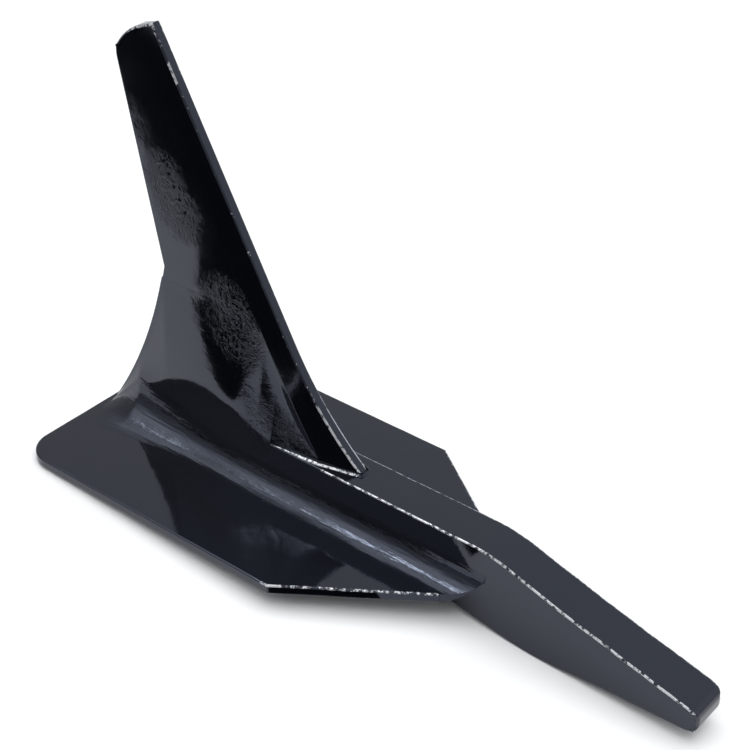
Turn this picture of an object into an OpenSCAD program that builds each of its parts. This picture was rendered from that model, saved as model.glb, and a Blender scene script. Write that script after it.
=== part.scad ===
// Winged tillage point: a long chisel nose, two flat swept wings and a raked shin blade.
// It is laid out with its wings level, +X to the nose, and then tipped onto its belly.

/* [Point bar] */
// Width of the nose and keel bar
bar_w = 30; // [24:1:40]
// Distance from the wings' rear edge to the tip of the nose
reach = 493; // [470:1:520]
// Height of the keel above the top of the wings
keel_h = 35; // [30:1:45]
// Height of the blunt face at the tip
tip_h = 14.5; // [10:0.5:20]

/* [Wings] */
// Span over both wings
span = 185; // [160:1:220]
// Thickness of the wing plate
wing_t = 7; // [5:0.5:10]
// Length of each wing's straight side
wing_side = 229; // [200:1:240]
// Radius of the rear outer corners
wing_corner_r = 22; // [10:1:30]

/* [Shin blade] */
// Thickness of the shin blade
blade_t = 12; // [10:0.5:16]
// Width of the flat front edge
edge_w = 7; // [4:0.5:9]
// Height of the blade's crown above the wings
blade_h = 302; // [300:1:310]

/* [Blends] */
// Width of the root fillet at the nose end
fillet_w = 16; // [12:1:20]
// Extra width of the root fillet at the rear
fillet_flare = 17; // [5:1:25]

/* [Hidden] */
$fn = 96;

bar_half = bar_w / 2;
half_span = span / 2;
blade_half = blade_t / 2;
edge_half = edge_w / 2;

// Stations along the length
rear_x = 2;
tang_x = 5;
shoulder_x = 165;
bend_x = 349;
tip_x = rear_x + reach;
wing_corner_x = rear_x + wing_side;
wing_apex_x = 365;

// The belly: it leaves the wings' underside, drops to the heel and runs up to the tip
belly_start_x = 241;
heel = [386, -28];
tip_top_z = -7;
tip_bottom_z = tip_top_z - tip_h;
tip_bevel = 5;

// The blade's front edge is straight and then sweeps forward onto the keel
front_top = [69.8, blade_h];
front_bend = [175, 108];
front_angle = atan2(front_bend[1] - front_top[1], front_bend[0] - front_top[0]);
front_r = 250;
toe_angle = -acos(cos(front_angle) + (front_bend[1] - keel_h) / front_r);
front_steps = 12;

// The ground border beside the front edge widens towards the foot
border_w_bend = 17;
border_bend = [178.8, 65];
border_toe = [206, keel_h];
border_toe_half = 12.5;
root_in = 2.5;

// The blade's rear edge: a straight seat above a hollow sweep down to the wings
seat_low = [66, 131];
seat_high = [36.5, blade_h - 24];
sweep_c = [-314, 228];
sweep_r = norm(seat_low - sweep_c);
crown_c = [79.2, blade_h - 48.2];
crown_r = norm(seat_high - crown_c);
crown_end = 117;

// Cheeks and root fillets are lofted through sections across the length
loft_x0 = 8;
fillet_x1 = 342;
curve_steps = 10;
cheek_top_z = 122;
cheek_steps = 40;
gusset_steps = 16;
fillet_steps = 30;
feather = 0.3;
tiny = 0.2;

// The part rests on its heel and on the rear edges of its wings
seat_tilt = atan((-heel[1] - wing_t) / (heel[0] - rear_x));
back_end = rear_x * cos(seat_tilt);
front_end = tip_x * cos(seat_tilt) - tip_bottom_z * sin(seat_tilt);
rest_lift = -(heel[0] * sin(seat_tilt) + heel[1] * cos(seat_tilt));

function ease(t) = t * t * (3 - 2 * t);
function clamp(v, low, high) = max(low, min(high, v));
function ramp(x, from, to) = ease(clamp((x - from) / (to - from), 0, 1));
function arc(c, r, from, to, steps) =
    [for (i = [0 : steps]) let (a = from + (to - from) * i / steps) c + r * [cos(a), sin(a)]];
function angle_from(c, p) = atan2(p[1] - c[1], p[0] - c[0]);
function bezier(a, b, c, t) = (1 - t) * (1 - t) * a + 2 * t * (1 - t) * b + t * t * c;

// Height of the rear sweep at x, for x behind the seat
function sweep_z(x) = sweep_c[1] - sqrt(sweep_r * sweep_r - pow(x - sweep_c[0], 2));
// Half span of the wing at x, in front of its corner
function leading_y(x) = (wing_apex_x - x) * half_span / (wing_apex_x - wing_corner_x);

// The front edge: t runs from 0 at the bend to 1 at the toe
function front_point(t) =
    let (a = front_angle + (toe_angle - front_angle) * t)
    [front_bend[0] + front_r * (sin(a) - sin(front_angle)),
     front_bend[1] - front_r * (cos(a) - cos(front_angle))];
border_top = crown_c + crown_r * [cos(crown_end), sin(crown_end)];
border_low = front_bend - border_w_bend * [cos(front_angle + 90), sin(front_angle + 90)];
function border_point(t) = bezier(border_low, border_bend, border_toe, t);
function border_half(t) = blade_half + (border_toe_half - blade_half) * t * t;

// A closed solid through rings of equal count, each at one x and counter-clockwise seen from +X
module loft(rings) {
    m = len(rings[0]);
    n = len(rings);
    points = [for (r = rings) for (p = r) p];
    sides = [for (i = [0 : n - 2]) for (j = [0 : m - 1]) let (k = (j + 1) % m)
             each [[i * m + j, (i + 1) * m + j, (i + 1) * m + k],
                   [i * m + j, (i + 1) * m + k, i * m + k]]];
    first = [for (j = [0 : m - 1]) j];
    last = [for (j = [m - 1 : -1 : 0]) (n - 1) * m + j];
    polyhedron(points, concat(sides, [first, last]));
}

// Stands a side view, drawn as [x, z], up across the width
module side_plate(width) {
    rotate([90, 0, 0]) linear_extrude(width, center = true) children();
}

// Sets the level layout down on its heel and its wings' rear edges
module seated() {
    translate([-(back_end + front_end) / 2, 0, rest_lift]) rotate([0, -seat_tilt, 0]) children();
}

module left_side() {
    mirror([0, 1, 0]) children();
}

// ---- Point bar: nose, keel and the tang that the wings and the blade are joined to
function bar_outline() = concat(
    [[tang_x, -wing_t], [belly_start_x, -wing_t]],
    [for (t = [0 : 0.25 : 1]) bezier([321, -18.6], [360, -27.5], heel, t)],
    [for (t = [0.25 : 0.25 : 1]) bezier(heel, [402, -27], [424, -25], t)],
    [[tip_x - 7, tip_bottom_z - 1], [tip_x, tip_bottom_z + 1], [tip_x, tip_top_z - 2]],
    [[tip_x - 2.5, tip_top_z], [tip_x - 12, -3.4], [446, 6], [401, 18], [372, 26.6]],
    [for (t = [0 : 0.25 : 1]) bezier([364, 29.2], [353, keel_h - 1], [bend_x - 16, keel_h], t)],
    [[shoulder_x, keel_h], [shoulder_x, 0], [tang_x, 0]]);

module bar_plan() {
    polygon([[tang_x, -bar_half], [tip_x - tip_bevel, -bar_half], [tip_x, tip_bevel - bar_half],
             [tip_x, bar_half - tip_bevel], [tip_x - tip_bevel, bar_half], [tang_x, bar_half]]);
}

module point_bar() {
    color("#20242c") seated() intersection() {
        side_plate(bar_w) polygon(bar_outline());
        translate([0, 0, -50]) linear_extrude(150) bar_plan();
    }
}

// ---- Shin blade: a plate with a narrow ground front edge, standing on the bar
module blade_outline() {
    crown = arc(crown_c, crown_r, angle_from(crown_c, seat_high), crown_end, 8);
    border = [for (i = [0 : front_steps]) border_point(i / front_steps)];
    sweep = arc(sweep_c, sweep_r, -asin(sweep_c[1] / sweep_r), angle_from(sweep_c, seat_low), 16);
    polygon(concat(sweep, crown, border,
                   [[shoulder_x, keel_h], [shoulder_x, 0]]));
}

// A ring of the front edge, with its root let a little way into the plate
function edge_ring(front, border, half) =
    let (root = [border[0] - root_in, max(border[1] - root_in, keel_h)], flush = blade_half - tiny)
    [[front[0], -edge_half, front[1]], [border[0], -half, border[1]],
     [border[0], -flush, border[1]], [root[0], -edge_half, root[1]],
     [root[0], edge_half, root[1]], [border[0], flush, border[1]],
     [border[0], half, border[1]], [front[0], edge_half, front[1]]];

module blade_edge() {
    swept = [for (i = [0 : front_steps]) let (t = i / front_steps)
             edge_ring(front_point(t), border_point(t), border_half(t))];
    loft(concat([edge_ring(front_top, border_top, blade_half)], swept));
}

module shin_blade() {
    color("#20242c") seated() {
        side_plate(blade_t) blade_outline();
        blade_edge();
    }
}

// ---- Wings: flat plates, square behind and swept in front
module wing_plan() {
    corner = [rear_x + wing_corner_r, wing_corner_r - half_span];
    polygon(concat(
        arc(corner, wing_corner_r, 180, 270, 12),
        [[wing_corner_x, -half_span], [wing_apex_x - bar_half * (wing_apex_x - wing_corner_x)
          / half_span, -bar_half], [tang_x, -bar_half], [tang_x, 0], [rear_x, 0]]));
}

module wing() {
    translate([0, 0, -wing_t]) linear_extrude(wing_t) wing_plan();
}

module right_wing() {
    color("#262a33") seated() wing();
}

module left_wing() {
    color("#262a33") seated() left_side() wing();
}

// ---- Cheeks: they thicken the blade's foot out to the width of the bar
function wall_half(x) = 8.5 + (bar_half - 8.5) * ramp(x, 10, 150);
function shoulder_z(x) = x < 130 ? 28 + 20 * ramp(x, 20, 120) : 48 - 13 * ramp(x, 130, 165);
// How far along the lower border a given x lies, from the curve's own quadratic
function border_t(x) =
    let (a = border_low[0], half_rate = border_bend[0] - a, turn = border_toe[0] - a - 2 * half_rate)
    (sqrt(half_rate * half_rate + turn * max(x - a, 0)) - half_rate) / turn;
function border_z(x) = x < border_low[0]
    ? border_low[1] + (x - border_low[0]) * tan(front_angle)
    : border_point(border_t(x))[1];
function cheek_z(x) = x < seat_low[0]
    ? min(sweep_z(x), cheek_top_z)
    : min(cheek_top_z - 10 * ramp(x, 110, border_low[0]), border_z(x) - tiny / 2);
function cheek_x(i) = loft_x0 + (shoulder_x - loft_x0) * i / cheek_steps;
function cheek_half(x) = x < border_low[0] ? blade_half + tiny : border_half(border_t(x)) + tiny;

function cheek_ring(x, floor_z) =
    let (top = max(cheek_z(x), floor_z + 1),
         low = clamp(shoulder_z(x), floor_z + tiny, 0.6 * top + 0.4 * floor_z),
         wall = max(wall_half(x), cheek_half(x)))
    concat([[x, blade_half, floor_z], [x, wall, floor_z]],
           [for (i = [0 : curve_steps]) let (t = i / curve_steps)
            [x, cheek_half(x) + (wall - cheek_half(x)) * pow(1 - t, 1.8), low + (top - low) * t]],
           [[x, blade_half, top]]);

module cheek() {
    loft([for (i = [0 : cheek_steps]) cheek_ring(cheek_x(i), 0)]);
}

module right_cheek() {
    color("#2e323b") seated() left_side() cheek();
}

module left_cheek() {
    color("#2e323b") seated() cheek();
}

// ---- Toe gussets: they carry the cheeks forward along the top of the bar
module toe_gusset() {
    loft([for (i = [0 : gusset_steps])
          cheek_ring(shoulder_x + (border_toe[0] - 1 - shoulder_x) * i / gusset_steps, keel_h)]);
}

module right_toe_gusset() {
    color("#2e323b") seated() left_side() toe_gusset();
}

module left_toe_gusset() {
    color("#2e323b") seated() toe_gusset();
}

// ---- Root fillets: they carry the cheeks and the bar's sides down onto the wings
function fillet_out(x) = wall_half(x) + fillet_w + fillet_flare * (1 - ramp(x, 0, 120));
function fillet_z(x) = min(17 + 14 * (1 - ramp(x, 20, 130)), x < seat_low[0] ? 0.6 * sweep_z(x) : 99);

function fillet_ring(x) =
    let (inner = wall_half(x), full = fillet_out(x), top = fillet_z(x),
         outer = x < wing_corner_x ? full : min(full, leading_y(x)))
    concat([[x, inner, 0], [x, outer, 0]],
           [for (i = [curve_steps : -1 : 0])
            let (y = inner + (outer - inner) * pow(i / curve_steps, 1.5),
                 s = (full - y) / (full - inner))
            [x, y, feather + (top - feather) * (1 - sqrt(1 - s * s))]]);

module root_fillet() {
    rear = [for (i = [0 : cheek_steps]) cheek_x(i)];
    front = [for (i = [1 : fillet_steps]) shoulder_x + (fillet_x1 - shoulder_x) * i / fillet_steps];
    loft([for (x = concat(rear, front)) fillet_ring(x)]);
}

module right_root_fillet() {
    color("#3a3f49") seated() left_side() root_fillet();
}

module left_root_fillet() {
    color("#3a3f49") seated() root_fillet();
}

// ---- Casting tally: plain raised bars on the blade's right face
module casting_tally() {
    bar = [9, 2.2, 1];
    color("#3a3f49") seated()
        translate([78, -blade_half - bar[2], 193]) rotate([0, 62, 0])
            for (i = [-2 : 2])
                translate([i * 9 - 1.1, 0, -bar[0] / 2]) cube([bar[1], bar[2], bar[0]]);
}

point_bar();
shin_blade();
right_wing();
left_wing();
right_cheek();
left_cheek();
right_toe_gusset();
left_toe_gusset();
right_root_fillet();
left_root_fillet();
casting_tally();
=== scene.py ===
# %% [markdown]
# # A winged tillage point in black enamel
# A winged point is the tooth at the foot of a ripper or cultivator leg. A long nose bar breaks the
# ground, two flat wings lift it, and a raked blade in front of the leg parts it. The real one is
# heavy steel, joined along smooth roots and dipped in thick gloss black enamel.
# The sizes and places are already settled in a CAD model, so the first step is to load that frame.
# Everything that follows is built around it, in metres.

# %% Load the fixed frame
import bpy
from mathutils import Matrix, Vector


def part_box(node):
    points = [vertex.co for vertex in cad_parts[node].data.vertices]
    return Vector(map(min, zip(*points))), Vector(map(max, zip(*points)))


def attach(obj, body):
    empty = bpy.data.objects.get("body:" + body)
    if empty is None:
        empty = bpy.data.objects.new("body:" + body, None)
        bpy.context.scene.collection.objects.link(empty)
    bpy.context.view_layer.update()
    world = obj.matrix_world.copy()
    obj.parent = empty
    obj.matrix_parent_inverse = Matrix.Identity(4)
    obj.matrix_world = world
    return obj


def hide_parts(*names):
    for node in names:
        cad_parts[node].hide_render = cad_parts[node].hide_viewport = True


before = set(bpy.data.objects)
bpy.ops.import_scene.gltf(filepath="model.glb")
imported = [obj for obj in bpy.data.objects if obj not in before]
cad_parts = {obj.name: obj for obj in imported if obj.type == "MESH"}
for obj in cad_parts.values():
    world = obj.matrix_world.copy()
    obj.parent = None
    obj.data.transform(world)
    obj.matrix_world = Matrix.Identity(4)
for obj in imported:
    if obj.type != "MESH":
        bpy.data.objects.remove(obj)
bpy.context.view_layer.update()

# %% Imports
from math import acos, asin, atan, atan2, cos, hypot, pi, radians, sin, sqrt
import bmesh
import bpy
from mathutils import Matrix, Vector, noise

# %% [markdown]
# ## Work level, then set the part down
# The part is easiest to draw with its wings level, in millimetres from the wings' rear edge, with z
# measured up from the top of the wings. In the frame it rests on its heel and on the wings' rear
# edges, so it is tipped by a few degrees. One matrix does both jobs, and the CAD boxes give its
# offset, so a drawn piece lands exactly on its CAD node.

# %% Driving sizes, read from the frame where it has them
REAR = 2.0
HEEL = (386.0, -28.0)
WING_T = 7.0
BAR_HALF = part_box("point_bar")[1].y * 1000
HALF_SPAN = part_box("left_wing")[1].y * 1000
TILT = atan((-HEEL[1] - WING_T) / (HEEL[0] - REAR))
turn = Matrix.Rotation(-TILT, 4, "Y") @ Matrix.Scale(0.001, 4)
rear_top = turn @ Vector((REAR, 0, 0))
heel_low = turn @ Vector((HEEL[0], 0, HEEL[1]))
SEATED = Matrix.Translation((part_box("left_wing")[0].x - rear_top.x, 0, -heel_low.z)) @ turn
print("bar half width", round(BAR_HALF, 2), "half span", round(HALF_SPAN, 2))
print("tip angle in degrees", round(TILT * 180 / pi, 2))

# %% [markdown]
# ## A few drawing helpers
# A quadratic curve and a circular arc are enough for every outline here. A ramp that eases in and
# out carries one size smoothly into another.

# %% Curves
def curve(a, b, c, steps):
    """Points of a quadratic curve from a to c that is pulled towards b."""
    rows = []
    for i in range(steps + 1):
        t = i / steps
        rows.append(tuple((1 - t) ** 2 * p + 2 * t * (1 - t) * q + t * t * r
                          for p, q, r in zip(a, b, c)))
    return rows


def straight(a, b, steps):
    """Evenly spaced points from a towards b, with b itself left out."""
    return [(mix(a[0], b[0], i / steps), mix(a[1], b[1], i / steps)) for i in range(steps)]


def arc(centre, radius, start, end, steps):
    """Points of a circular arc, with its angles in radians."""
    angles = [start + (end - start) * i / steps for i in range(steps + 1)]
    return [(centre[0] + radius * cos(a), centre[1] + radius * sin(a)) for a in angles]


def ramp(x, start, end):
    """0 before start, 1 after end, and an eased rise between."""
    t = min(max((x - start) / (end - start), 0.0), 1.0)
    return t * t * (3 - 2 * t)


def mix(a, b, t):
    """The value a share t of the way from a to b."""
    return a + (b - a) * t


def spaced(points, gap):
    """The same outline with extra points, so that no side is longer than gap."""
    rows = []
    for a, b in zip(points, points[1:] + points[:1]):
        count = max(1, round(hypot(b[0] - a[0], b[1] - a[1]) / gap))
        rows += [(mix(a[0], b[0], i / count), mix(a[1], b[1], i / count)) for i in range(count)]
    return rows


print("a quarter of a unit circle ends at", [round(v, 3) for v in arc((0, 0), 1, 0, pi / 2, 4)[-1]])

# %% [markdown]
# ## Finishing a piece
# Every piece ends the same way: close points are merged, faces are turned outwards, the mesh is
# tipped into place, and the shading is smooth except over hard corners. A weighted-normal modifier
# keeps big flat faces looking flat beside their small rounded edges. Then the CAD node that it
# stands for is hidden, and the piece is parented to the body it rides on.

# %% The finishing helper
MATERIALS = {}
SHARP = radians(32)
FINE = 0.001


def finish(bm, name, nodes, material, weighted=True, tidy=0.02):
    """Turns a level, millimetre bmesh into a seated piece; points closer than tidy are merged."""
    bmesh.ops.remove_doubles(bm, verts=bm.verts, dist=tidy)
    bmesh.ops.recalc_face_normals(bm, faces=bm.faces)
    bm.transform(SEATED)
    open_edges = sum(not e.is_manifold for e in bm.edges)
    mesh = bpy.data.meshes.new(name)
    bm.to_mesh(mesh)
    bm.free()
    mesh.shade_smooth()
    mesh.set_sharp_from_angle(angle=SHARP)
    piece = bpy.data.objects.new(name, mesh)
    bpy.context.scene.collection.objects.link(piece)
    if weighted:
        flat = piece.modifiers.new("flat faces stay flat", "WEIGHTED_NORMAL")
        flat.keep_sharp = True
    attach(piece, "root")
    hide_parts(*nodes)
    MATERIALS.setdefault(material, []).append(piece)
    print(name, len(mesh.polygons), "faces,", open_edges, "open edges")


def wear_and_highlight_layer(bm):
    """A number on each face that tells the paint where bare steel shows, from scuffs and, on the toe weld
    and the wing's front edge, as a painted highlight: 0 none, 1 most.
    """
    return bm.faces.layers.float.get("wear_and_highlight") or bm.faces.layers.float.new("wear_and_highlight")


def round_edges(bm, edges, size, steps=3, wear_and_highlight=0.0):
    """Rounds edges with a true bevel and marks the new faces for bare steel: scuffs, and on the wing's
    front edge a painted highlight.
    """
    layer = wear_and_highlight_layer(bm)
    made = bmesh.ops.bevel(bm, geom=edges, offset=size, offset_type="OFFSET", segments=steps,
                           profile=0.5, affect="EDGES", material=-1)
    for face in made["faces"]:
        face[layer] = wear_and_highlight


def set_wear_and_highlight(bm, share):
    """Scales each marked face by share(its centre), so bare steel can come and go along an edge; it is
    scuffing, and on the wing's front edge also a painted highlight.
    """
    layer = wear_and_highlight_layer(bm)
    for face in bm.faces:
        face[layer] *= share(face.calc_center_median())


def prism(bm, outline, low, high, axis):
    """A flat outline pushed straight through from low to high, along Y or Z."""
    place = {"Y": lambda a, b: (a, low, b), "Z": lambda a, b: (a, b, low)}[axis]
    face = bm.faces.new([bm.verts.new(place(a, b)) for a, b in outline])
    made = bmesh.ops.extrude_face_region(bm, geom=[face])
    push = (0, high - low, 0) if axis == "Y" else (0, 0, high - low)
    moved = [v for v in made["geom"] if isinstance(v, bmesh.types.BMVert)]
    bmesh.ops.translate(bm, verts=moved, vec=push)


def corners(bm, least=20, most=180, test=lambda mid: True):
    """Edges whose faces meet at an angle in that range, in degrees, where test(midpoint) holds."""
    found = []
    for edge in bm.edges:
        if len(edge.link_faces) == 2:
            angle = edge.calc_face_angle(0) * 180 / pi
            mid = (edge.verts[0].co + edge.verts[1].co) / 2
            if least <= angle <= most and test(mid):
                found.append(edge)
    return found


print("hard corners are over", round(SHARP * 180 / pi), "degrees")

# %% [markdown]
# ## The point bar
# The nose and keel are one forged bar, 30 mm wide all the way. Its side view is everything: flat on
# top, a soft bend, a long slope to a blunt tip, and a belly with a heel under the bend. So it is
# drawn as one outline and pushed through sideways. Forged edges are never quite straight, so the
# outline gets extra points and each is moved a hair before the edges are rounded. A few cuts
# across the tip give its sides the points that they need to draw in and round it over.

# %% Bar outline
KEEL = 35.0
SHOULDER = 165.0
TANG = 5.0
TIP_X = 495.0
TIP_R = 3.6
RUBBED_FROM = 202.0
BELLY = -8
FORGED = 0.45
TIP_CUTS = (1.0, 0.55, 0.22)


def bar_outline():
    """The bar's side view, from its rear underside round by the tip to its top."""
    belly = curve((321, -18.6), (360, -27.5), HEEL, 8) + curve(HEEL, (402, -27), (424, -25), 6)[1:]
    tip = curve((487, -22.8), (494.6, -21.8), (TIP_X, -17.5), 5)
    tip += curve((TIP_X, -12.5), (494.8, -7.2), (487, -4.7), 6)
    slope = [(446, 6), (401, 18), (372, 26.6)]
    bend = curve((364, 29.2), (353, KEEL - 1), (333, KEEL), 8)
    return ([(TANG, -WING_T), (241, -WING_T)] + belly + tip + slope + bend
            + [(SHOULDER, KEEL), (SHOULDER, 0), (TANG, 0)])


print("bar outline:", len(bar_outline()), "points")

# %% Bar solid
def wander(point, size, seed):
    """A small smooth offset, the same for the same place on every run."""
    return size * noise.noise(Vector(point) / 14 + Vector((seed, 0, 0)))


def plan_corner(x):
    """How far the bar's sides draw in as its blunt tip rounds over."""
    into = max(x - (TIP_X - TIP_R), 0)
    return TIP_R - sqrt(max(TIP_R ** 2 - into ** 2, 0))


bar = bmesh.new()
prism(bar, spaced(bar_outline(), 6), -BAR_HALF, BAR_HALF, "Y")
for share in TIP_CUTS:
    bmesh.ops.bisect_plane(bar, geom=bar.verts[:] + bar.edges[:] + bar.faces[:],
                           plane_co=(TIP_X - TIP_R * share, 0, 0), plane_no=(1, 0, 0))
for vert in bar.verts:
    loose = ramp(vert.co.x, SHOULDER + 20, 300)
    vert.co.z += wander(vert.co, FORGED, 3) * loose
    vert.co.y *= (abs(vert.co.y) - plan_corner(vert.co.x)) / abs(vert.co.y)
rims = corners(bar, 40, test=lambda m: m.x > SHOULDER + 1 or m.z <= BELLY)
round_edges(bar, rims, size=1.1, steps=4, wear_and_highlight=1.0)
set_wear_and_highlight(bar, lambda m: ramp(m.x, RUBBED_FROM - 12, RUBBED_FROM + 14) if m.z > BELLY else 0.45)
finish(bar, "nose_and_keel_bar", ["point_bar"], "bar enamel")

# %% [markdown]
# ## The shin blade
# The blade is a 12 mm plate with a narrow front edge and a ground border that thins towards it. Its
# side view holds three parts: the plate, the border, and between them the line where the grinding
# stops. Drawing them as joined flat faces and pushing them through together means that the taper is
# just a change of width afterwards: each point is moved out or in to the half thickness there.

# %% Blade lines
BLADE_HALF = 6.0
EDGE_HALF = 3.5
FRONT_TOP = (69.8, 302.0)
FRONT_BEND = (175.0, 108.0)
FRONT_R = 250.0
FRONT_ANGLE = atan2(FRONT_BEND[1] - FRONT_TOP[1], FRONT_BEND[0] - FRONT_TOP[0])
TOE_ANGLE = -acos(cos(FRONT_ANGLE) + (FRONT_BEND[1] - KEEL) / FRONT_R)
SEAT_LOW = (66.0, 131.0)
SEAT_HIGH = (36.5, 278.0)
SWEEP_C = (-314.0, 228.0)
SWEEP_R = hypot(SEAT_LOW[0] - SWEEP_C[0], SEAT_LOW[1] - SWEEP_C[1])
CROWN_C = (79.2, 253.8)
CROWN_R = hypot(SEAT_HIGH[0] - CROWN_C[0], SEAT_HIGH[1] - CROWN_C[1])
CROWN_END = radians(117)
BORDER_TOP = (CROWN_C[0] + CROWN_R * cos(CROWN_END), CROWN_C[1] + CROWN_R * sin(CROWN_END))
BORDER_W = 17
BORDER_LOW = (FRONT_BEND[0] + BORDER_W * sin(FRONT_ANGLE),
              FRONT_BEND[1] - BORDER_W * cos(FRONT_ANGLE))
BORDER_BEND = (178.8, 65.0)
BORDER_TOE = (206.0, KEEL)
TOE_HALF = 10.5


def front_line(steps):
    """The front edge below its straight part, swept forward onto the keel."""
    rows = []
    for i in range(steps + 1):
        a = mix(FRONT_ANGLE, TOE_ANGLE, i / steps)
        rows.append((FRONT_BEND[0] + FRONT_R * (sin(a) - sin(FRONT_ANGLE)),
                     FRONT_BEND[1] - FRONT_R * (cos(a) - cos(FRONT_ANGLE))))
    return rows


def border_share(x):
    """How far along the lower border line x lies, from 0 at its bend to 1 at the toe."""
    half_rate = BORDER_BEND[0] - BORDER_LOW[0]
    bend = BORDER_TOE[0] - BORDER_LOW[0] - 2 * half_rate
    return (sqrt(half_rate ** 2 + bend * max(x - BORDER_LOW[0], 0)) - half_rate) / bend


def border_half(x):
    """Half thickness along the border line, which widens to the toe's foot."""
    return BLADE_HALF + (TOE_HALF - BLADE_HALF) * border_share(x) ** 2


def border_z(x):
    """Height of the border line: straight, then a quadratic curve down to the toe."""
    if x < BORDER_LOW[0]:
        return BORDER_LOW[1] + (x - BORDER_LOW[0]) * sin(FRONT_ANGLE) / cos(FRONT_ANGLE)
    t = border_share(x)
    return (1 - t) ** 2 * BORDER_LOW[1] + 2 * t * (1 - t) * BORDER_BEND[1] + t * t * BORDER_TOE[1]


def sweep_z(x):
    """Height of the blade's hollow rear edge."""
    return SWEEP_C[1] - sqrt(SWEEP_R ** 2 - (x - SWEEP_C[0]) ** 2)


print("front edge leans", round(90 + FRONT_ANGLE * 180 / pi, 1), "degrees from upright")

# %% Blade solid
FRONT = 1
BORDER = 2
STEPS = 16
UPPER_STEPS = 12
front = straight(FRONT_TOP, FRONT_BEND, UPPER_STEPS) + front_line(STEPS)
border = (straight(BORDER_TOP, BORDER_LOW, UPPER_STEPS)
          + curve(BORDER_LOW, BORDER_BEND, BORDER_TOE, STEPS))
sweep = arc(SWEEP_C, SWEEP_R, -asin(SWEEP_C[1] / SWEEP_R),
            atan2(SEAT_LOW[1] - SWEEP_C[1], SEAT_LOW[0] - SWEEP_C[0]), 20)
crown = arc(CROWN_C, CROWN_R, atan2(SEAT_HIGH[1] - CROWN_C[1], SEAT_HIGH[0] - CROWN_C[0]),
            CROWN_END, 10)[:-1]

blade = bmesh.new()
edge_key = blade.verts.layers.int.new("line")
front_verts = [blade.verts.new((x, 0, z)) for x, z in front]
border_verts = [blade.verts.new((x, 0, z)) for x, z in border]
back_verts = [blade.verts.new((x, 0, z)) for x, z in [(SHOULDER, KEEL), (SHOULDER, 0)] + sweep + crown]
for vert in front_verts:
    vert[edge_key] = FRONT
for vert in border_verts:
    vert[edge_key] = BORDER
blade.faces.new(border_verts + back_verts)
for i in range(len(front_verts) - 1):
    blade.faces.new([front_verts[i], front_verts[i + 1], border_verts[i + 1], border_verts[i]])
pushed = bmesh.ops.extrude_face_region(blade, geom=blade.faces[:])
right_side = {v for v in pushed["geom"] if isinstance(v, bmesh.types.BMVert)}
for vert in blade.verts:
    half = {0: BLADE_HALF, FRONT: EDGE_HALF, BORDER: border_half(vert.co.x)}[vert[edge_key]]
    vert.co.y = -half if vert in right_side else half
bmesh.ops.recalc_face_normals(blade, faces=blade.faces)
print("blade in the rough:", len(blade.faces), "faces")


# %% Blade edges
def line_edges(bm, key):
    """Edges that run along one of the blade's lines, on either side."""
    return [e for e in bm.edges if all(v[edge_key] == key for v in e.verts)
            and e.verts[0].co.y * e.verts[1].co.y > 0]


crown_corner = [e for e in blade.edges if all(abs(v.co.z - SEAT_HIGH[1]) < 0.1 for v in e.verts)
                and all(abs(v.co.x - SEAT_HIGH[0]) < 0.1 for v in e.verts)]
round_edges(blade, crown_corner, size=7.5, steps=5)
round_edges(blade, line_edges(blade, BORDER), size=0.8, steps=2)
round_edges(blade, line_edges(blade, FRONT), size=1.0, wear_and_highlight=1.0)
rim = corners(blade, 50, test=lambda m: m.z > KEEL + 1 and (m.x < SEAT_LOW[0] + 6 or m.z > 280)
              and abs(m.y) > 3)
round_edges(blade, rim, size=1.5, wear_and_highlight=1.0)
finish(blade, "shin_blade_plate", ["shin_blade"], "blade enamel", tidy=FINE)

# %% [markdown]
# ## Skins for the blended roots
# The cheeks, the toe gussets and the root fillets are all smooth blends. Each is one grid whose
# points are moved onto a surface given by two numbers, u along the part and v across it. Pushing
# the grid's faces in to a hidden backing closes it into a solid. The grid's borders leave the
# neighbouring faces at a tangent, so the enamel seems to run over the joint.

# %% The skin helper
def skin(bm, surface, backing, along, across):
    """A closed solid under surface(u, v), with its underside at backing(point)."""
    made = bmesh.ops.create_grid(bm, x_segments=along, y_segments=across, size=1)
    for vert in made["verts"]:
        vert.co = surface((vert.co.x + 1) / 2, (vert.co.y + 1) / 2)
    grid = list({f for v in made["verts"] for f in v.link_faces})
    deep = bmesh.ops.extrude_face_region(bm, geom=grid)
    for vert in [v for v in deep["geom"] if isinstance(v, bmesh.types.BMVert)]:
        vert.co = backing(vert.co)


print("a skin has", 40 * 12, "faces at 40 by 12")

# %% [markdown]
# ## Cheeks
# A cheek thickens the blade's foot until it is as wide as the bar. Low down it is an upright wall,
# then it turns over a soft shoulder and leans in to the blade's face, which it meets at a tangent.
# Towards the rear it thins and follows the blade's hollow rear edge.

# %% Cheek surface
SKIN = 0.04
CHEEK_TOP = 122.0
LOFT_START = 8.0
REAR_HALF = 8.5
SHOULDER_HIGH = 48
SHOULDER_CLIMB = 20
LEAN_POWER = 1.8


def wall_half(x):
    """Half thickness of the cheek's upright wall, which grows to the bar's."""
    return REAR_HALF + (BAR_HALF - REAR_HALF) * ramp(x, 10, 150)


def shoulder_z(x):
    """Height at which the wall turns over; it climbs from the rear, then sinks to the keel."""
    if x < 130:
        return SHOULDER_HIGH - SHOULDER_CLIMB * (1 - ramp(x, 20, 120))
    return mix(SHOULDER_HIGH, KEEL, ramp(x, 130, SHOULDER))


def cheek_top(x):
    """Where the cheek runs out on the blade: its rear edge, a level line, then the border."""
    if x < SEAT_LOW[0]:
        return min(sweep_z(x), CHEEK_TOP)
    return min(CHEEK_TOP - 10 * ramp(x, 110, BORDER_LOW[0]), border_z(x) - 0.1)


def top_half(x):
    """Half thickness of the blade where the cheek meets it."""
    return BLADE_HALF if x < BORDER_LOW[0] else border_half(x)


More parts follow.
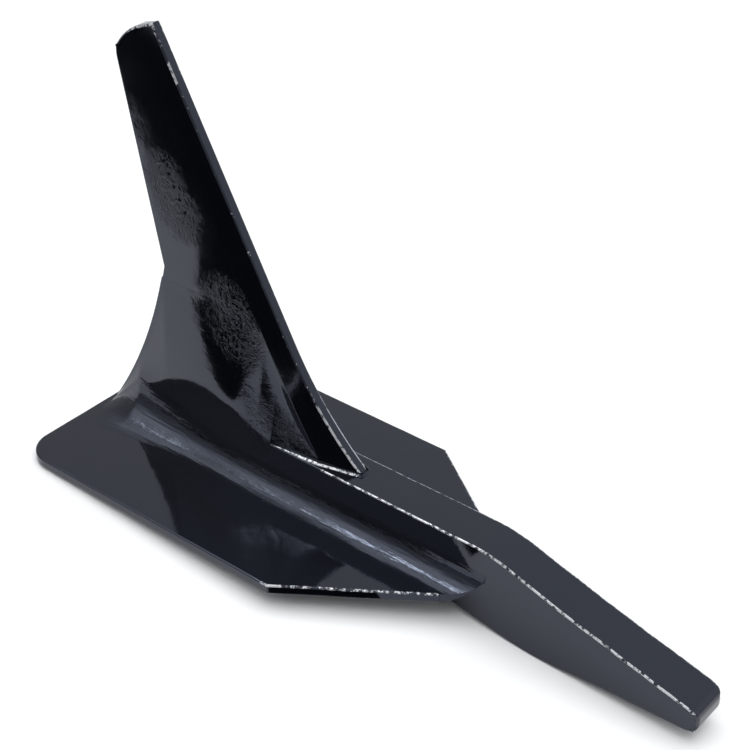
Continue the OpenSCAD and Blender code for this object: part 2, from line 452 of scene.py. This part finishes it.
def lean(t):
    """1 on the wall, falling to 0 at the blade's face; t is the height over the shoulder."""
    soft = 0.10
    over = 0.5 * (t + sqrt(t * t + soft * soft)) - 0.5 * (sqrt(1 + soft * soft) - 1) * max(t, 0)
    return max(0.0, 1 - over) ** LEAN_POWER


def cheek_y(x, z):
    """Half thickness of the cheek at x and height z."""
    top = cheek_top(x)
    low = min(shoulder_z(x), 0.6 * top)
    wall = max(wall_half(x), top_half(x))
    t = (z - low) / max(top - low, 0.5)
    return mix(top_half(x), wall, lean(t)) + SKIN


def cheek_point(side):
    """The cheek's outer face on one side, as a surface of u and v."""
    def place(u, v):
        x = mix(LOFT_START, SHOULDER, u)
        z = mix(0, cheek_top(x), v)
        return Vector((x, side * cheek_y(x, z), z))
    return place


def to_plane(side, half):
    """A flat backing, hidden inside the blade."""
    return lambda p: Vector((p.x, side * half, p.z))


for name, side in (("right", -1), ("left", 1)):
    bm = bmesh.new()
    skin(bm, cheek_point(side), to_plane(side, BLADE_HALF - 0.5), 90, 48)
    finish(bm, name + "_cheek_blend", [name + "_cheek"], "cheek enamel", False, FINE)

# %% [markdown]
# ## Toe gussets
# In front of the cheek the same blend carries on along the top of the bar, and narrows until only
# the blade's own toe is left. Its foot flares out a little, ready for the weld that follows.

# %% Toe gusset surface
FOOT_R = 2.2
FLARE = 1.3


def foot_half(x):
    """The foot leaves the bar's side early and closes in on the toe."""
    along = min(max((x - SHOULDER) / (BORDER_TOE[0] - SHOULDER), 0), 1)
    return mix(BAR_HALF, TOE_HALF + 0.2, along ** 0.8)


def gusset_point(side):
    """The toe gusset's outer face on one side, as a surface of u and v."""
    def place(u, v):
        x = mix(SHOULDER, BORDER_TOE[0] - 0.5, u)
        top = max(cheek_top(x), KEEL + 0.6)
        z = mix(KEEL, top, v ** 1.3)
        t = (z - KEEL) / (top - KEEL)
        y = mix(top_half(x), foot_half(x), max(0.0, 1 - t) ** LEAN_POWER) + SKIN
        flare = FLARE * max(0.0, 1 - (z - KEEL) / FOOT_R) ** 2 * ramp(x, SHOULDER + 6, 190)
        return Vector((x, side * min(y + flare, BAR_HALF + SKIN), z))
    return place


for name, side in (("right", -1), ("left", 1)):
    bm = bmesh.new()
    skin(bm, gusset_point(side), to_plane(side, BLADE_HALF - 0.5), 34, 26)
    finish(bm, name + "_toe_gusset_blend", [name + "_toe_gusset"], "cheek enamel",
           False, FINE)

# %% [markdown]
# ## Toe weld
# Round the blade's toe runs a fine hollow weld that joins it to the bar's top. It is small, but it
# catches the light as a bright line and draws the shape of the foot. Its up-turned faces are also
# marked as bare steel, a painted highlight that brightens that line. It is a skin again: one number
# runs along the foot's edge and round its front, the other across a quarter of a hollow circle.

# %% Toe weld surface
WELD_R = 2.4
WELD_START = 166.0
SIDE_STEPS = 30
TOE_STEPS = 6
TOE_X = front_line(STEPS)[-1][0]


def toe_half(x):
    """Half width of the foot where it stands on the bar."""
    if x < BORDER_TOE[0]:
        return foot_half(x)
    return mix(TOE_HALF, EDGE_HALF, (x - BORDER_TOE[0]) / (TOE_X - BORDER_TOE[0]))


def foot_path(side):
    """The foot's edge from the bar's side to the middle of the toe, with its outward direction."""
    rows = []
    for i in range(SIDE_STEPS + 1):
        x = mix(WELD_START, TOE_X, i / SIDE_STEPS)
        slope = toe_half(min(x + 0.5, TOE_X)) - toe_half(x - 0.5)
        outward = Vector((-slope, side, 0)).normalized()
        rows.append((Vector((x, side * toe_half(x), KEEL)), outward))
    start = atan2(rows[-1][1].y * side, rows[-1][1].x)
    for i in range(1, TOE_STEPS + 1):
        angle = mix(start, 0, i / TOE_STEPS)
        y = EDGE_HALF * (1 - i / TOE_STEPS)
        rows.append((Vector((TOE_X, side * y, KEEL)), Vector((cos(angle), side * sin(angle), 0))))
    return rows


def weld_point(side):
    """The weld's hollow face on one side, as a surface of u and v."""
    rows = foot_path(side)

    def place(u, v):
        at = u * (len(rows) - 1)
        i = min(int(at), len(rows) - 2)
        foot = rows[i][0].lerp(rows[i + 1][0], at - i)
        outward = rows[i][1].lerp(rows[i + 1][1], at - i).normalized()
        size = WELD_R * ramp(foot.x, WELD_START, WELD_START + 12) * (1 + 0.25 * wander(foot, 1, 7))
        size = max(min(size, BAR_HALF - 0.5 - abs(foot.y)), 0.25)
        angle = v * pi / 2
        rise = Vector((0, 0, size * (1 - cos(angle)) + SKIN))
        return foot + outward * (size * (1 - sin(angle)) - 0.1) + rise
    return place


def weld_backing(p):
    """Hidden inside the gusset, just under the bar's top."""
    return Vector((p.x, p.y * 0.86, KEEL - 0.5))


for name, side in (("right", -1), ("left", 1)):
    bm = bmesh.new()
    skin(bm, weld_point(side), weld_backing, 96, 7)
    bmesh.ops.recalc_face_normals(bm, faces=bm.faces)
    # Painted highlight: the weld's up-turned faces along the foot's sides are marked as bare steel, so they
    # shine as a bright line.
    rub_and_highlight = wear_and_highlight_layer(bm)
    for face in bm.faces:
        along_side = face.calc_center_median().x < TOE_X - 2
        face[rub_and_highlight] = 1.0 if face.normal.z > 0.7 and along_side else 0.0
    finish(bm, name + "_toe_weld", [name + "_toe_gusset"], "weld enamel", False, FINE)

# %% [markdown]
# ## Wings
# A wing is flat plate, square behind with one rounded corner, and swept in front. The plate is its
# plan view pushed down by its thickness. Its front root corner is left out, because there the wing
# curls up the bar's side, and that curl belongs to the root.

# %% Wing solid
CORNER_X = 231.0
APEX_X = 365.0
CORNER_R = 22.0
CURL_X = 300.0
FILLET_W = 16.0


def leading_y(x):
    """Half width of the swept front edge at x."""
    return (APEX_X - x) * HALF_SPAN / (APEX_X - CORNER_X)


def leading_x(y):
    """Where along x the swept front edge is that wide."""
    return APEX_X - y * (APEX_X - CORNER_X) / HALF_SPAN


def wing_plan(side):
    """The wing from above, less the root corner that curls up the bar."""
    corner = (REAR + CORNER_R, HALF_SPAN - CORNER_R)
    toe = BAR_HALF + FILLET_W
    rows = arc(corner, CORNER_R, pi, pi / 2, 12)
    rows += [(CORNER_X, HALF_SPAN), (leading_x(toe), toe), (CURL_X, toe), (CURL_X, BAR_HALF),
             (TANG, BAR_HALF), (TANG, 0), (REAR, 0)]
    return [(x, side * y) for x, y in rows]


for name, side in (("right", -1), ("left", 1)):
    bm = bmesh.new()
    prism(bm, spaced(wing_plan(side), 12), -WING_T, 0, "Z")
    outer = corners(bm, 60, test=lambda m: abs(m.y) > BAR_HALF + FILLET_W + 0.5 or m.x < REAR + 0.5)
    rims = [e for e in outer if abs(e.verts[0].co.z - e.verts[1].co.z) < 0.1]
    for vert in {v for e in rims for v in e.verts}:
        vert.co.z += wander(vert.co, 0.25, 5)
    round_edges(bm, rims, size=1.2, steps=4, wear_and_highlight=1.0)
    # Bare steel on the rims: a little underneath, more along the sides, and fully at the front edge, where
    # it is partly scuffing and partly a painted highlight line.
    set_wear_and_highlight(bm, lambda m: 0.3 if m.z < -WING_T / 2 else 1.0 if m.x > CORNER_X - 4 else 0.78)
    finish(bm, name + "_wing_plate", [name + "_wing"], "wing enamel")

# %% [markdown]
# ## Root fillets
# The root carries the wing up into the bar and the cheek in one hollow curve. It is wide at the rear
# and tight at the nose, where it ends as a lip: there both its top and its underside rise with the
# curve, so the wing's leading edge sweeps up the bar's side in a band of even thickness.

# %% Root fillet surface
ROOT_END = 343.1
ROOT_RISE = 17.0
REAR_RISE = 14
REAR_OUT = 17
LIP_T = 1.2


def root_out(x):
    """Half width at which the root leaves the wing."""
    return wall_half(x) + FILLET_W + REAR_OUT * (1 - ramp(x, 0, 120))


def root_top(x):
    """How high the root climbs the wall."""
    rise = ROOT_RISE + REAR_RISE * (1 - ramp(x, 20, 130))
    return min(rise, 0.6 * sweep_z(x)) if x < SEAT_LOW[0] else rise


def root_point(side):
    """The root's hollow face on one side, as a surface of u and v."""
    def place(u, v):
        x = mix(LOFT_START, ROOT_END, u)
        inner, full, rise = wall_half(x), root_out(x), root_top(x)
        cut = min(max(full - leading_y(x), 0) / (full - inner), 1) if x > CORNER_X else 0
        angle = mix(asin(cut), pi / 2, v)
        y = full - (full - inner) * sin(angle)
        return Vector((x, side * (y + SKIN), SKIN + rise * (1 - cos(angle))))
    return place


def root_backing(side):
    """Hidden inside the part at the rear; at the nose, the underside of the curled lip."""
    def place(p):
        if p.x < CURL_X:
            y = abs(p.y) - SKIN
            return Vector((p.x, side * (wall_half(p.x) - 0.5 + 0.2 * (y - wall_half(p.x))), -1))
        thick = mix(WING_T, LIP_T, ramp(p.x, 316, 341))
        return Vector((p.x, p.y, mix(-WING_T, p.z - thick, ramp(p.x, CURL_X, 318))))
    return place


for name, side in (("right", -1), ("left", 1)):
    bm = bmesh.new()
    skin(bm, root_point(side), root_backing(side), 167, 18)
    finish(bm, name + "_root_fillet_blend", [name + "_root_fillet"], "root enamel",
           False, FINE)

# %% [markdown]
# ## Casting tally
# A few plain raised bars on the right face stand for a foundry's tally. They are small, so simple
# prisms with rounded edges read well once the enamel has softened them.

# %% Tally solid
TALLY_PITCH = 9
TALLY_WIDE = 1.1
TALLY_LONG = 4.5
TALLY_AT = (78, -BLADE_HALF, 193)
TALLY_LEAN = radians(62)
TALLY_SPIN = Matrix.Translation(TALLY_AT) @ Matrix.Rotation(TALLY_LEAN, 4, "Y")

tally = bmesh.new()
for i in range(-2, 3):
    left = i * TALLY_PITCH - TALLY_WIDE
    right = i * TALLY_PITCH + TALLY_WIDE
    bar_rows = [(left, -TALLY_LONG), (right, -TALLY_LONG), (right, TALLY_LONG), (left, TALLY_LONG)]
    before = set(tally.verts)
    prism(tally, bar_rows, -1, 0.2, "Y")
    bmesh.ops.transform(tally, matrix=TALLY_SPIN, verts=[v for v in tally.verts if v not in before])
bmesh.ops.recalc_face_normals(tally, faces=tally.faces)
round_edges(tally, corners(tally, 60), size=0.5, wear_and_highlight=0.3)
finish(tally, "casting_tally_bars", ["casting_tally"], "blade enamel")

# %% [markdown]
# ## Gloss black enamel
# Dipped enamel is a thick, dark, glossy film. Three things make it look real: faint long waves in
# the film, the fine orange peel that breaks up the edge of a reflection, and places where the rough
# skin of the steel shows through as crinkles. Where edges rub in handling, the film is gone and
# bright steel shows. On the toe weld and the wing's front edge that bare steel is also a painted
# highlight. The waves, peel and wear are used by every finish, so each is a node group.

# %% Small node helpers
def add(tree, kind, **values):
    """A shader node with its properties and inputs set by name."""
    node = tree.nodes.new(kind)
    for key, value in values.items():
        if hasattr(node, key):
            setattr(node, key, value)
        else:
            node.inputs[key.replace("_", " ")].default_value = value
    return node


def feed(tree, value, socket):
    """Sets a socket from a number, or links it to another node's output."""
    if isinstance(value, (int, float)):
        socket.default_value = value
    else:
        tree.links.new(value, socket)


def maths(tree, operation, a, b=0.0, clamp=False):
    """One sum on two values, each a number or another node's output."""
    node = tree.nodes.new("ShaderNodeMath")
    node.operation = operation
    node.use_clamp = clamp
    for socket, value in zip(node.inputs, (a, b)):
        feed(tree, value, socket)
    return node.outputs[0]


def fade(tree, value, low, high):
    """0 below low, 1 above high."""
    node = tree.nodes.new("ShaderNodeMapRange")
    node.inputs["From Min"].default_value = low
    node.inputs["From Max"].default_value = high
    tree.links.new(value, node.inputs["Value"])
    return node.outputs["Result"]


def texture(tree, kind, where, scale, **values):
    """A pattern node fed with a position and given its scale."""
    node = add(tree, kind, **values)
    node.inputs["Scale"].default_value = scale
    tree.links.new(where, node.inputs["Vector"])
    return node


def group(name, inputs, outputs):
    """An empty node group with named inputs and outputs."""
    tree = bpy.data.node_groups.new(name, "ShaderNodeTree")
    for label, kind, value in inputs:
        socket = tree.interface.new_socket(label, in_out="INPUT", socket_type=kind)
        if value is not None:
            socket.default_value = value
    for label, kind in outputs:
        tree.interface.new_socket(label, in_out="OUTPUT", socket_type=kind)
    return tree, tree.nodes.new("NodeGroupInput"), tree.nodes.new("NodeGroupOutput")


print("node helpers ready")

# %% The enamel film group
film, film_in, film_out = group(
    "Enamel film",
    [("Position", "NodeSocketVector", None), ("Waves", "NodeSocketFloat", 1.0),
     ("Ripple", "NodeSocketFloat", 0.2), ("Peel", "NodeSocketFloat", 0.05),
     ("Streaks", "NodeSocketFloat", 0.0), ("Crinkle", "NodeSocketFloat", 0.0)],
    [("Height", "NodeSocketFloat"), ("Roughness", "NodeSocketFloat")])
place = film_in.outputs["Position"]
waves = texture(film, "ShaderNodeTexNoise", place, 34, Detail=1.5)
ripple = texture(film, "ShaderNodeTexNoise", place, 230, Detail=2.0, Distortion=0.4)
peel = texture(film, "ShaderNodeTexNoise", place, 700, Detail=2.0)
drawn = film.nodes.new("ShaderNodeMapping")
drawn.inputs["Scale"].default_value = (0.10, 1, 1)
film.links.new(place, drawn.inputs["Vector"])
streaks = texture(film, "ShaderNodeTexNoise", drawn.outputs["Vector"], 420, Detail=3.0)
crease = texture(film, "ShaderNodeTexNoise", place, 260, Detail=3.0, Distortion=1.4)
ridges = maths(film, "ABSOLUTE", maths(film, "SUBTRACT", crease.outputs["Fac"], 0.5))
layers = [("Waves", waves.outputs["Fac"]), ("Ripple", ripple.outputs["Fac"]),
          ("Peel", peel.outputs["Fac"]), ("Streaks", streaks.outputs["Fac"]),
          ("Crinkle", maths(film, "MULTIPLY", ridges, -4.0))]
height = 0.0
for label, layer in layers:
    height = maths(film, "ADD", height, maths(film, "MULTIPLY", layer, film_in.outputs[label]))
film.links.new(height, film_out.inputs["Height"])
cloud = texture(film, "ShaderNodeTexNoise", place, 90, Detail=4.0)
film.links.new(maths(film, "ADD", 0.03, maths(film, "MULTIPLY", cloud.outputs["Fac"], 0.07)),
               film_out.inputs["Roughness"])
print("film group:", len(film.nodes), "nodes")

# %% The bare steel group, for scuffs and painted highlight
steel_marks, steel_marks_in, steel_marks_out = group(
    "Bare steel: scuffs and painted highlight",
    [("Position", "NodeSocketVector", None), ("Edge", "NodeSocketFloat", 0.0),
     ("Amount", "NodeSocketFloat", 0.5)],
    [("Bare", "NodeSocketFloat")])
patchy = texture(steel_marks, "ShaderNodeTexNoise", steel_marks_in.outputs["Position"], 300, Detail=6.0, Roughness=0.75)
limit = maths(steel_marks, "SUBTRACT", 0.85, maths(steel_marks, "MULTIPLY", steel_marks_in.outputs["Amount"], 0.5))
over = maths(steel_marks, "SUBTRACT", maths(steel_marks, "MULTIPLY", patchy.outputs["Fac"], steel_marks_in.outputs["Edge"]), limit)
steel_marks.links.new(maths(steel_marks, "MULTIPLY", over, 14.0, clamp=True), steel_marks_out.inputs["Bare"])
print("rubbed edge group:", len(steel_marks.nodes), "nodes")

# %% [markdown]
# ## The finishes
# All the finishes are the same enamel over steel, with their own amounts of wave, peel, crinkle
# and bare steel. The bare steel is wear, and on the toe weld and the wing's front edge it is also a
# painted highlight. A patch is a soft ball in object space, used to keep crinkles to where the
# casting is rough and chips to the corners that get knocked. It is given as a centre and a radius
# in level millimetres, and how much it adds. A colour Mix node is read by number, since its sockets
# share their names: two hold its colours and one its result.

# %% Enamel maker
BLACK = (0.0013, 0.0016, 0.0028, 1)
# Bare steel shows where enamel is scuffed off; on the toe weld and the wing's front edge it is also a
# painted highlight.
STEEL = (0.60, 0.61, 0.63, 1)
COOL = (0.70, 0.78, 1.0, 1)
FILM_DEPTH = 0.0006
FILM_IOR = 1.58
MIX_A = 6
MIX_B = 7
MIX_OUT = 2


def patch(tree, where, centre, radius):
    """1 near centre, fading to 0 at radius."""
    spot = tree.nodes.new("ShaderNodeVectorMath")
    spot.operation = "DISTANCE"
    tree.links.new(where, spot.inputs[0])
    spot.inputs[1].default_value = SEATED @ Vector(centre)
    return fade(tree, spot.outputs["Value"], radius / 1000, radius / 2000)


def patched(tree, where, level, spots):
    """A level that rises inside each spot; a plain number where there are none."""
    for centre, radius, rise in spots:
        level = maths(tree, "ADD", level, maths(tree, "MULTIPLY", patch(tree, where, centre, radius), rise))
    return level


def enamel(name, waves, ripple, peel, streaks=0.0, wear_and_highlight_level=0.5, crinkled=(), knocked=()):
    """Gloss black enamel over steel, put on every piece that asked for it by name."""
    material = bpy.data.materials.new(name)
    material.use_nodes = True
    tree = material.node_tree
    shader = tree.nodes["Principled BSDF"]
    where = tree.nodes.new("ShaderNodeTexCoord").outputs["Object"]
    coat = tree.nodes.new("ShaderNodeGroup")
    coat.node_tree = film
    tree.links.new(where, coat.inputs["Position"])
    for label, value in (("Waves", waves), ("Ripple", ripple), ("Peel", peel), ("Streaks", streaks),
                         ("Crinkle", patched(tree, where, 0.0, crinkled))):
        feed(tree, value, coat.inputs[label])
    rub_and_highlight = tree.nodes.new("ShaderNodeGroup")
    rub_and_highlight.node_tree = steel_marks
    tree.links.new(where, rub_and_highlight.inputs["Position"])
    # The face number gives where bare steel shows: scuffs, and on the weld and the wing's front edge a
    # painted highlight.
    tree.links.new(add(tree, "ShaderNodeAttribute", attribute_name="wear_and_highlight").outputs["Fac"],
                   rub_and_highlight.inputs["Edge"])
    feed(tree, patched(tree, where, wear_and_highlight_level, knocked), rub_and_highlight.inputs["Amount"])
    bare = rub_and_highlight.outputs["Bare"]
    colour = add(tree, "ShaderNodeMix", data_type="RGBA")
    colour.inputs[MIX_A].default_value = BLACK
    colour.inputs[MIX_B].default_value = STEEL
    tree.links.new(bare, colour.inputs["Factor"])
    tree.links.new(colour.outputs[MIX_OUT], shader.inputs["Base Color"])
    tree.links.new(bare, shader.inputs["Metallic"])
    tree.links.new(maths(tree, "ADD", coat.outputs["Roughness"], maths(tree, "MULTIPLY", bare, 0.25)),
                   shader.inputs["Roughness"])
    bump = add(tree, "ShaderNodeBump", Strength=1.0, Distance=FILM_DEPTH)
    tree.links.new(coat.outputs["Height"], bump.inputs["Height"])
    tree.links.new(bump.outputs["Normal"], shader.inputs["Normal"])
    shader.inputs["IOR"].default_value = FILM_IOR
    shader.inputs["Specular Tint"].default_value = COOL
    for piece in MATERIALS[name]:
        piece.data.materials.clear()
        piece.data.materials.append(material)
    print(name, "on", len(MATERIALS[name]), "pieces,", len(tree.nodes), "nodes")


# %% The enamels
enamel("bar enamel", waves=0.4, ripple=0.04, peel=0.015, wear_and_highlight_level=0.80)
enamel("blade enamel", waves=0.25, ripple=0.03, peel=0.015, wear_and_highlight_level=0.50,
       crinkled=[((84, -6, 178), 26, 0.10), ((74, -6, 200), 22, 0.08), ((126, -6, 122), 30, 0.10)],
       knocked=[((62, 0, 299), 18, 0.30), ((84, -3, 272), 10, 0.35), ((222, 0, 50), 46, 0.40)])
# The wing's bare-steel front edge is partly scuffing and partly a painted highlight.
enamel("wing enamel", waves=0.5, ripple=0.03, peel=0.02, wear_and_highlight_level=0.68,
       knocked=[((231, -92, -3), 10, 0.30)])
enamel("root enamel", waves=0.6, ripple=0.10, peel=0.02, streaks=0.50)
enamel("cheek enamel", waves=0.4, ripple=0.06, peel=0.02,
       crinkled=[((135, -10, 108), 34, 0.12), ((160, -14, 44), 26, 0.10), ((190, -12, 46), 26, 0.14)])
# On the weld the bare steel is a painted highlight on its up-turned faces.
enamel("weld enamel", waves=0.5, ripple=0.12, peel=0.03, wear_and_highlight_level=0.80)

# %% [markdown]
# ## Stage, lights and camera
# Black gloss shows nothing of its own: it shows what it mirrors. A pale floor and a pale room turn
# the faces grey, and one tight glow in the room draws the long bright line down the root. Three
# black cards lie on the floor. Two, as in a studio, darken the blade's side and its toe. The third
# is painted shade: it stands for the shaded floor under the wing, which the wing's front edge
# mirrors. Only mirrors see them, so they leave the floor white.

# %% Stage
def stage_material(name, colour):
    """A matt grey that varies very slightly."""
    material = bpy.data.materials.new(name)
    material.use_nodes = True
    tree = material.node_tree
    shader = tree.nodes["Principled BSDF"]
    where = tree.nodes.new("ShaderNodeTexCoord").outputs["Object"]
    grain = texture(tree, "ShaderNodeTexNoise", where, 9, Detail=3.0)
    tone = add(tree, "ShaderNodeMix", data_type="RGBA")
    dimmer = 0.97 * colour
    tone.inputs[MIX_A].default_value = (colour, colour, colour, 1)
    tone.inputs[MIX_B].default_value = (dimmer, dimmer, dimmer, 1)
    tree.links.new(grain.outputs["Fac"], tone.inputs["Factor"])
    tree.links.new(tone.outputs[MIX_OUT], shader.inputs["Base Color"])
    shader.inputs["Roughness"].default_value = 0.9
    shader.inputs["Specular IOR Level"].default_value = 0.1
    return material


def sheet(name, outline, height, material, mirrored_only=False):
    """A flat sheet on the floor. A card that only mirrors can see is for shaping reflections."""
    bm = bmesh.new()
    bm.faces.new([bm.verts.new((x, y, height)) for x, y in outline])
    bmesh.ops.recalc_face_normals(bm, faces=bm.faces)
    mesh = bpy.data.meshes.new(name)
    bm.to_mesh(mesh)
    bm.free()
    mesh.materials.append(material)
    panel = bpy.data.objects.new(name, mesh)
    bpy.context.scene.collection.objects.link(panel)
    if mirrored_only:
        panel.visible_camera = False
        panel.visible_diffuse = False
        panel.visible_shadow = False


FLOOR = 6.0
FLOOR_DROP = -0.0003
CARD_LIFT = 0.0008
black = stage_material("black card", 0.004)
pale = stage_material("pale floor", 0.86)
sheet("floor", [(-FLOOR, -FLOOR), (FLOOR, -FLOOR), (FLOOR, FLOOR), (-FLOOR, FLOOR)], FLOOR_DROP, pale)
sheet("card_behind_blade",
      [(-0.95, -0.57), (-0.60, -0.345), (-0.53, -0.305), (-0.42, -0.238), (-0.35, -0.200),
       (-0.315, -0.160), (-0.27, -0.138), (-0.225, -0.138), (-0.225, -0.190), (-0.155, -0.190),
       (-0.215, -1.1), (-0.95, -1.1)],
      CARD_LIFT, black, True)
sheet("card_beside_toe",
      [(-0.150, -0.175), (-0.06, -0.175), (0.05, -0.60), (0.05, -1.4), (-0.215, -1.4),
       (-0.170, -0.40)],
      CARD_LIFT, black, True)
# Painted shade: the wing's front edge mirrors this black sheet in place of the shaded floor under the wing.
sheet("painted_shade_card_under_wing",
      [(-0.012, -0.101), (0.050, -0.0635), (0.053, -0.0770), (-0.004, -0.118)],
      CARD_LIFT, black, True)
print("floor reaches", FLOOR, "m each way")

# %% [markdown]
# ## The room
# The room is a world shader: one even tone, and soft glows that stand in for big panels. Each glow
# is the cosine of the angle to its middle, raised to a power, so a high power makes it small and
# hard, and a low one washes over whole faces. The first and tightest draws the line down the root.
# The camera is set out in the level space as well, so it is tipped along with the part.

# %% Lights
def studio(name, base, glows):
    """A room of even light with soft glows, each a direction, a strength and a tightness."""
    world = bpy.data.worlds.new(name)
    world.use_nodes = True
    tree = world.node_tree
    ray = tree.nodes.new("ShaderNodeTexCoord").outputs["Generated"]
    total = base
    for direction, strength, tightness in glows:
        dot = tree.nodes.new("ShaderNodeVectorMath")
        dot.operation = "DOT_PRODUCT"
        tree.links.new(ray, dot.inputs[0])
        dot.inputs[1].default_value = Vector(direction).normalized()
        glow = maths(tree, "POWER", maths(tree, "MAXIMUM", dot.outputs["Value"], 0.0), tightness)
        total = maths(tree, "ADD", total, maths(tree, "MULTIPLY", glow, strength))
    tree.links.new(total, tree.nodes["Background"].inputs["Strength"])
    tree.nodes["Background"].inputs["Color"].default_value = (0.96, 0.98, 1.0, 1)
    bpy.context.scene.world = world


studio("pale room", 0.44,
       [((-0.52, -0.28, 0.81), 14.0, 500), ((-0.50, -0.55, 0.67), 2.0, 24),
        ((-0.52, 0.06, 0.85), 1.5, 30), ((-0.40, 0.72, 0.57), 0.24, 3),
        ((0.08, 0.64, 0.77), 0.32, 6), ((0.69, 0.63, 0.36), 0.50, 9),
        ((0.25, -0.42, 0.87), 6.0, 60)])


def soft_panel(name, direction, distance, width, height, watts, mirrored=True):
    """An area light that looks at the part from a direction."""
    light = bpy.data.lights.new(name, "AREA")
    light.shape = "RECTANGLE"
    light.size = width
    light.size_y = height
    light.energy = watts
    lamp = bpy.data.objects.new(name, light)
    bpy.context.scene.collection.objects.link(lamp)
    away = Vector(direction).normalized()
    lamp.location = Vector((0, 0, 0.05)) + away * distance
    lamp.rotation_euler = away.to_track_quat("Z", "Y").to_euler()
    lamp.visible_camera = False
    lamp.visible_glossy = mirrored


soft_panel("overhead_fill", (0.1, 0.1, 1.0), 2.2, 2.4, 2.4, 33.0, mirrored=False)

# %% Camera
AZIMUTH = radians(39.19)
ELEVATION = radians(33.79)
BACK_OFF = 1249.34
ASIDE = (188.33, 10.47)
LENS = 82.06
right = Vector((cos(AZIMUTH), sin(AZIMUTH), 0))
forward = Vector((-sin(AZIMUTH) * cos(ELEVATION), cos(AZIMUTH) * cos(ELEVATION), -sin(ELEVATION)))
up = right.cross(forward)
eye = SEATED @ (-BACK_OFF * forward + ASIDE[0] * right + ASIDE[1] * up)
tip_turn = turn.to_3x3().normalized()
axes = Matrix([tip_turn @ right, tip_turn @ up, -(tip_turn @ forward)]).transposed()
lens = bpy.data.cameras.new("camera")
lens.lens = LENS
lens.sensor_width = 36
camera = bpy.data.objects.new("camera", lens)
bpy.context.scene.collection.objects.link(camera)
camera.matrix_world = Matrix.Translation(eye) @ axes.to_4x4()
bpy.context.scene.camera = camera
bpy.context.scene.view_settings.view_transform = "Standard"
print("camera at", [round(v, 3) for v in eye])
